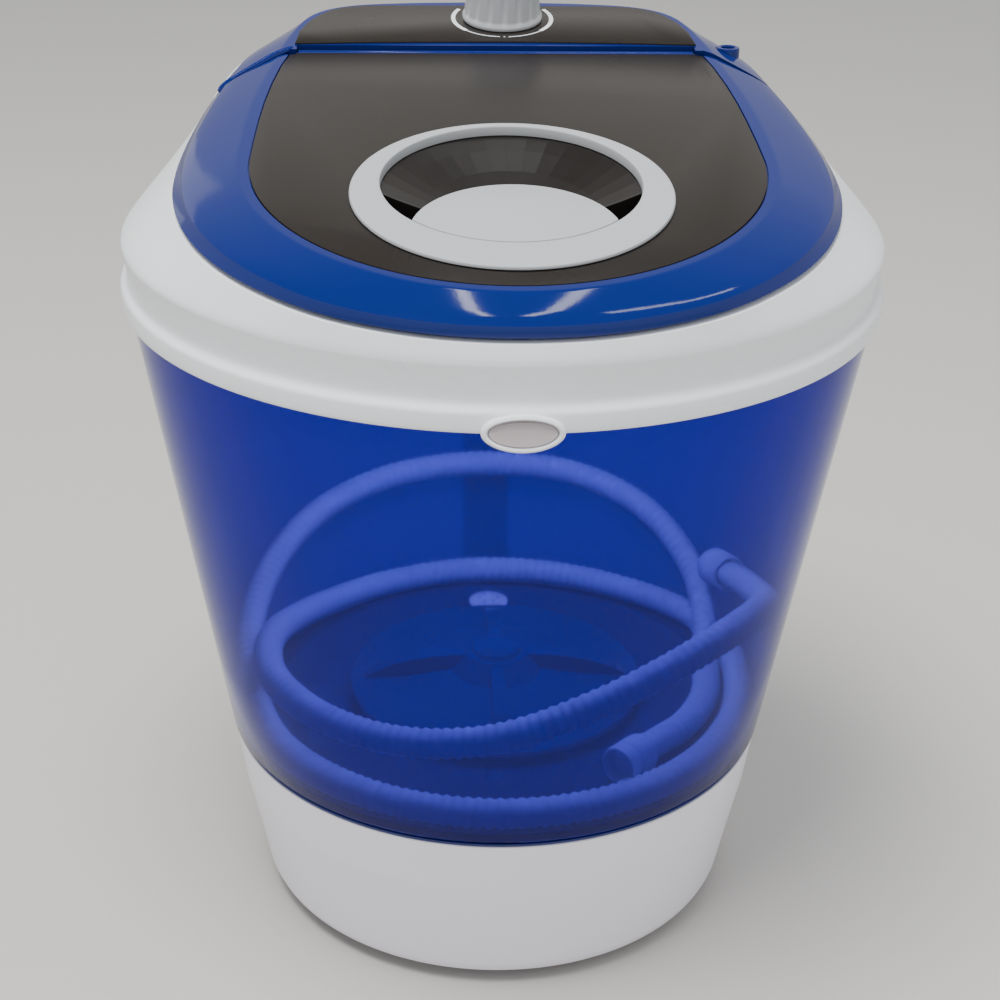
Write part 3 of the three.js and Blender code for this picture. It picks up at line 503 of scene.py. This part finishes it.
def make_lid():
    share = [(-170, -200), (170, -200), (170, 28.6), (106, 84.6), (99.4, 84.6), (99.4, 87.2), (-99.4, 87.2),
             (-99.4, 84.6), (-106, 84.6), (-170, 28.6)]
    inner = [(-167, -197), (167, -197), (167, 26), (104, 81.5), (-104, 81.5), (-167, 26)]
    lid = loft("lid_skirt", dome_rings(BORDER), MATERIALS["frame_blue"], body=None)
    boolean(lid, cutter_prism(share, -20, 40), "INTERSECT")
    hollow = loft("hollow", dome_rings(BORDER, 2.6), MATERIALS["frame_blue"], body=None)
    boolean(hollow, cutter_prism(inner, -20, BORDER - 3.4), "INTERSECT")
    boolean(lid, hollow, "DIFFERENCE")
    boolean(lid, cutter_prism(panel_outline(0), BORDER - 1.6, 30), "DIFFERENCE")
    boolean(lid, cutter_prism(arc(60.5, (0, GRIP_V), 0, 356, 120), -5, 30), "DIFFERENCE")
    finish_piece(lid, MATERIALS["frame_blue"], "lid", 30)
    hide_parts("lid_frame")
    make_barrel()

    panel = loft("lid_film", plate_rings(panel_outline(0.7), BORDER - 1.3, BORDER + 0.2, 0.35),
                 MATERIALS["charcoal_panel"], body=None)
    boolean(panel, cutter_prism(arc(60.5, (0, GRIP_V), 0, 356, 120), -5, 30), "DIFFERENCE")
    finish_piece(panel, MATERIALS["charcoal_panel"], "lid", 30)
    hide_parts("lid_panel")


def make_barrel():
    """The rounded hinge barrel on the lid's rear edge, with its web."""
    section = [(HINGE_V - 5.6, HINGE_W - 1.6), (HINGE_V, HINGE_W - 1.6)]
    section += arc(2.4, (HINGE_V, HINGE_W), -70, 150, 20)
    section += [(HINGE_V - 5.6, HINGE_W + 0.6)]
    rings = [deck(np.array([(u, v, w) for v, w in section])) for u in (-99, -98.4, 98.4, 99)]
    loft("hinge_barrel", rings, MATERIALS["frame_blue"], body="lid", slot="frame_blue")


def make_grip():
    count = 160
    steps = [(RING_V, RING_RADIUS - 0.5, BORDER + 0.5), (RING_V, RING_RADIUS, BORDER + 0.9),
             (RING_V, RING_RADIUS, BORDER + 1.5),
             (RING_V, RING_RADIUS - 0.35, BORDER + 2.1), (RING_V, RING_RADIUS - 1.1, BORDER + 2.4),
             (RING_V, RING_RADIUS - 1.8, BORDER + 2.4), (GRIP_V, GRIP_RADIUS + 1.7, BORDER + 2.4),
             (GRIP_V, GRIP_RADIUS + 1.0, BORDER + 2.4), (GRIP_V, GRIP_RADIUS + 0.3, BORDER + 2.1),
             (GRIP_V, GRIP_RADIUS, BORDER + 1.5), (GRIP_V, GRIP_RADIUS, 9.8), (GRIP_V, 59.8, 9.8),
             (GRIP_V, 59.8, BORDER + 0.5)]
    rings = [deck(circle(r, w, count, (0, v))) for v, r, w in steps]
    ring = loft("grip_ring", rings, MATERIALS["grip_grey"], closed=True, body="lid", slot="grip_grey")
    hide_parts("handle_ring")
    meet_v = (LENS_V ** 2 - GRIP_V ** 2 - LENS_RADIUS ** 2 + (GRIP_RADIUS - 0.25) ** 2) / (2 * (LENS_V - GRIP_V))
    half = math.sqrt((GRIP_RADIUS - 0.25) ** 2 - (meet_v - GRIP_V) ** 2)
    low = math.degrees(math.atan2(meet_v - GRIP_V, half))
    high = math.degrees(math.atan2(meet_v - LENS_V, half))
    outline = arc(GRIP_RADIUS - 0.25, (0, GRIP_V), -180 - low, low, 60)[:-1]
    outline += arc(LENS_RADIUS, (0, LENS_V), high, 180 - high, 60)[:-1]
    plate = loft("grip_plate", plate_rings(outline, 10.8, BORDER + 2.35, 0.7), MATERIALS["grip_grey"],
                 body="lid",
                 slot="grip_grey")
    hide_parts("finger_plate")


def overlay_outline(shrink):
    front = [((101 - shrink) * t, 97 - 3.2 * t * t + shrink) for t in np.linspace(-1, 1, 25)]
    side = [(99.2, 110), (95, 123), (90, 132), (84.5, 138.5), (77, 143), (67, 145.4), (56, 146)]
    right = [(x - shrink, min(y, 146 - shrink)) for x, y in side]
    return front + right + [(-x, y) for x, y in reversed(right)]


def make_controls():
    share = [(-171, 29.2), (-104.3, 87.9), (-100, 87.9), (-100, 93.4), (100, 93.4), (100, 87.9),
             (104.3, 87.9),
             (171, 29.2), (171, 220), (-171, 220)]
    inner = [(-168, 36), (-109, 97), (109, 97), (168, 36), (168, 220), (-168, 220)]
    housing = loft("housing_shell", dome_rings(HOUSING_TOP), MATERIALS["frame_blue"], body=None)
    boolean(housing, cutter_prism(share, -20, 40), "INTERSECT")
    hollow = loft("hollow", dome_rings(HOUSING_TOP, 2.6), MATERIALS["frame_blue"], body=None)
    boolean(hollow, cutter_prism(inner, -20, HOUSING_TOP - 2.6), "INTERSECT")
    boolean(housing, hollow, "DIFFERENCE")
    spout_low, spout_high = (np.array(c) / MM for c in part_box("inlet_spout"))
    middle = (spout_low + spout_high) / 2
    hole = loft("cutter", turned_rings([(6.4, 380), (6.4, 440)], 60, middle[:2]), MATERIALS["frame_blue"],
                body=None)
    boolean(housing, hole, "DIFFERENCE")
    boolean(housing, cutter_prism(arc(3.6, (KNOB_U, KNOB_V), 0, 350, 36), 0, 30), "DIFFERENCE")
    finish_piece(housing, MATERIALS["frame_blue"], "cabinet", 30)
    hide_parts("control_housing")

    make_bead()

    low, high = HOUSING_TOP + 0.1, HOUSING_TOP + 1.1
    overlay = loft("control_film", plate_rings(overlay_outline(0), low, high, 0.4),
                   MATERIALS["charcoal_panel"],
                   slot="charcoal_panel")
    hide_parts("control_overlay")
    make_dial(high)
    make_knob()

    tip, foot = spout_high[2], spout_low[2]
    profile = soften([(3.6, foot), (5.9, foot), (5.9, tip - 0.3), (5.4, tip), (4.0, tip), (3.6, tip - 0.5)],
                     0.6)
    spout = loft("inlet_tube", turned_rings(profile, 64, middle[:2]), MATERIALS["frame_blue"], closed=True,
                 slot="frame_blue")
    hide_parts("inlet_spout")


def make_bead():
    """The rounded lip along the housing's front edge on the left, where the lid ends."""
    knots = [(-101.8, 91.2, 12.4), (-104.3, 89.7, 12.3), (-112, 82.9, 11.4), (-120, 75.8, 9.2),
             (-127, 69.7, 7.0),
             (-132.5, 64.8, 5.2), (-135.5, 62.2, 3.3), (-136.6, 61.2, 1.2)]
    knots = [np.array(k, float) for k in knots]
    knots = [2 * knots[0] - knots[1]] + knots + [2 * knots[-1] - knots[-2]]
    line = np.concatenate([curve_span(*knots[i:i + 4], 8) for i in range(len(knots) - 3)] + [knots[-2][None]])
    ahead = np.gradient(line, axis=0)
    ahead /= np.linalg.norm(ahead, axis=1)[:, None]
    turn = np.arange(20) * 2 * math.pi / 20
    rings = []
    for i, (here, way) in enumerate(zip(line, ahead)):
        across = np.cross(way, (0, 0, 1))
        across /= np.linalg.norm(across)
        up = np.cross(across, way)
        edge = min(i, len(line) - 1 - i)
        radius = 1.9 * (0.35, 0.75, 0.93)[edge] if edge < 3 else 1.9
        rings.append(deck(here + radius * (np.cos(turn)[:, None] * across + np.sin(turn)[:, None] * up)))
    loft("parting_bead", rings, MATERIALS["frame_blue"], slot="frame_blue")


def make_dial(top):
    """The printed scale round the knob: heavy arcs at the sides, a thin broken one in front."""
    def band(name, inner, outer, start, stop):
        count = max(8, int(abs(stop - start) / 3))
        low, high = top - 0.05, top + 0.08
        rings = []
        for a in np.linspace(math.radians(start), math.radians(stop), count):
            out = np.array([math.cos(a), math.sin(a)])
            p, q = out * inner + (KNOB_U, KNOB_V), out * outer + (KNOB_U, KNOB_V)
            rings.append(deck(np.array([(*p, low), (*q, low), (*q, high), (*p, high)])))
        loft(name, rings, MATERIALS["print_white"], sharp=60)
    band("dial_arc_left", 24.3, 26.4, 150, 222)
    band("dial_arc_right", 24.3, 26.4, -42, 30)
    for i, (start, stop) in enumerate(((223, 265), (269, 271), (275, 317))):
        band(f"dial_arc_front_{i + 1}", 25.2, 25.9, start, stop)


def make_knob():
    count = 192
    turn = np.arange(count) * 2 * math.pi / count
    steps = [(20.4, 15.0, 0), (20.6, 15.6, 0), (20.5, 17.2, 0), (19.7, 18.0, 0.2), (19.6, 19.2, 0.8),
             (18.5, 30, 0.8),
             (17.6, 38.4, 0.8), (17.0, 40.4, 0.7), (15.9, 41.6, 0.4), (14.1, 42.0, 0), (11.2, 41.6, 0),
             (4, 41.5, 0)]
    rings = []
    for radius, w, flute in steps:
        depth = flute * np.clip(np.cos(turn * 16), 0, 1) ** 2
        r = radius - depth
        across, along = KNOB_U + r * np.sin(turn), KNOB_V - r * np.cos(turn)
        rings.append(deck(np.stack([across, along, np.full(count, w)], 1)))
    knob = loft("dial_knob", rings, MATERIALS["grip_grey"], body="timer_dial", slot="grip_grey", sharp=50)
    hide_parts("timer_knob")
    mark = [(KNOB_U + u, KNOB_V + v) for u, v in ((-0.6, 6), (0.6, 6), (0.6, 15.6), (-0.6, 15.6))]
    loft("knob_pointer", [deck(level(np.array(mark), w)) for w in (41.2, 42.1)], MATERIALS["charcoal_panel"],
         body="timer_dial")


# ---- badge ----

def make_badge():
    count = 96
    turn = np.arange(count) * 2 * math.pi / count

    def oval(width, height, y):
        return np.stack([width * np.sin(turn), y + 0.0045 * (width * np.sin(turn)) ** 2,
                         327 - height * np.cos(turn)], 1)
    steps = [(16.6, 7.8, -181.3), (17.2, 8.3, -182.0), (17.2, 8.3, -183.2), (16.6, 7.8, -183.9),
             (15.6, 7.0, -184.2),
             (14.8, 6.4, -183.9), (14.4, 6.1, -183.2), (14.4, 6.1, -182.4)]
    bezel = loft("badge_rim", [oval(*s) for s in steps], MATERIALS["white_body"], body="cabinet",
                 slot="white_body")
    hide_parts("badge_bezel")
    dome = [(14.2, 5.95, -182.8), (14.0, 5.8, -183.4), (13.0, 5.1, -183.75), (10.5, 4.0, -184.0),
            (6, 2.2, -184.15),
            (1, 0.4, -184.2)]
    plate = loft("badge_dome", [oval(*s) for s in dome], MATERIALS["badge_silver"], slot="badge_silver",
                 sharp=70)
    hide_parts("badge_plate")


# ---- stage ----

def make_stage():
    floor_material = plastic("stage_floor", (0.56, 0.54, 0.51), 0.7, 0.0, 50)
    corners = [(-9000, -9000, -0.3), (9000, -9000, -0.3), (9000, 9000, -0.3), (-9000, 9000, -0.3)]
    mesh_object("stage_floor", corners, [(0, 1, 2, 3)], floor_material, body=None)
    make_world()
    lamp("key", (-0.35, -0.45, 2.3), (0, 0, 0.3), (1.0, 1.0), 66, glossy=False)
    lamp("fill", (1.3, -0.9, 1.5), (0, 0, 0.3), (1.2, 1.2), 4, glossy=False)
    lamp("pane_left", (-0.06, 0.36, 1.9), (0, -0.17, 0.366), (0.035, 0.55), 0.6)
    lamp("pane_right", (0.2, 0.36, 1.9), (0, -0.17, 0.366), (0.045, 0.55), 0.6)
    lamp("pane_far", (0.56, 0.34, 1.8), (0, -0.17, 0.366), (0.06, 0.55), 0.6)
    wall = lamp("wall_glow", (-1.15, 1.5, 1.15), (-0.13, 0, 0.39), (0.9, 0.9), 1.6)
    wall.visible_diffuse = False
    inside = lamp("inside", (0, 0, 0.345), (0, 0, 0.1), (0.14, 0.14), 1.4, glossy=False)
    inside.visible_camera = False
    inside.visible_transmission = False


def make_world():
    """Even light for the colours; mirror rays see it bright near the horizon and dim overhead."""
    world = bpy.data.worlds.new("studio")
    world.use_nodes = True
    nodes, links = world.node_tree.nodes, world.node_tree.links
    even = nodes["Background"]
    even.inputs["Color"].default_value = (0.93, 0.96, 1.0, 1)
    even.inputs["Strength"].default_value = 0.84
    mirrored = nodes.new("ShaderNodeBackground")
    mirrored.inputs["Color"].default_value = (1.0, 0.97, 0.93, 1)
    place = nodes.new("ShaderNodeTexCoord")
    split = nodes.new("ShaderNodeSeparateXYZ")
    fall = nodes.new("ShaderNodeMapRange")
    fall.inputs["From Min"].default_value = 0.5
    fall.inputs["From Max"].default_value = 0.86
    fall.inputs["To Min"].default_value = 0.62
    fall.inputs["To Max"].default_value = 0.06
    links.new(place.outputs["Generated"], split.inputs["Vector"])
    links.new(split.outputs["Z"], fall.inputs["Value"])
    links.new(fall.outputs["Result"], mirrored.inputs["Strength"])
    path = nodes.new("ShaderNodeLightPath")
    mix = nodes.new("ShaderNodeMixShader")
    links.new(path.outputs["Is Glossy Ray"], mix.inputs["Fac"])
    links.new(even.outputs["Background"], mix.inputs[1])
    links.new(mirrored.outputs["Background"], mix.inputs[2])
    links.new(mix.outputs["Shader"], nodes["World Output"].inputs["Surface"])
    bpy.context.scene.world = world


def lamp(name, place, target, size, power, glossy=True):
    data = bpy.data.lights.new(name, "AREA")
    data.shape = "RECTANGLE"
    data.size, data.size_y = size
    data.energy = power
    light = bpy.data.objects.new(name, data)
    aim = Vector(target) - Vector(place)
    light.matrix_world = Matrix.Translation(place) @ aim.to_track_quat("-Z", "Y").to_matrix().to_4x4()
    light.visible_glossy = glossy
    bpy.context.scene.collection.objects.link(light)
    return light


make_camera()
make_hose()
dress_frame()
make_tub()
make_base()
make_collar()
make_lid()
make_grip()
make_controls()
make_badge()
make_stage()
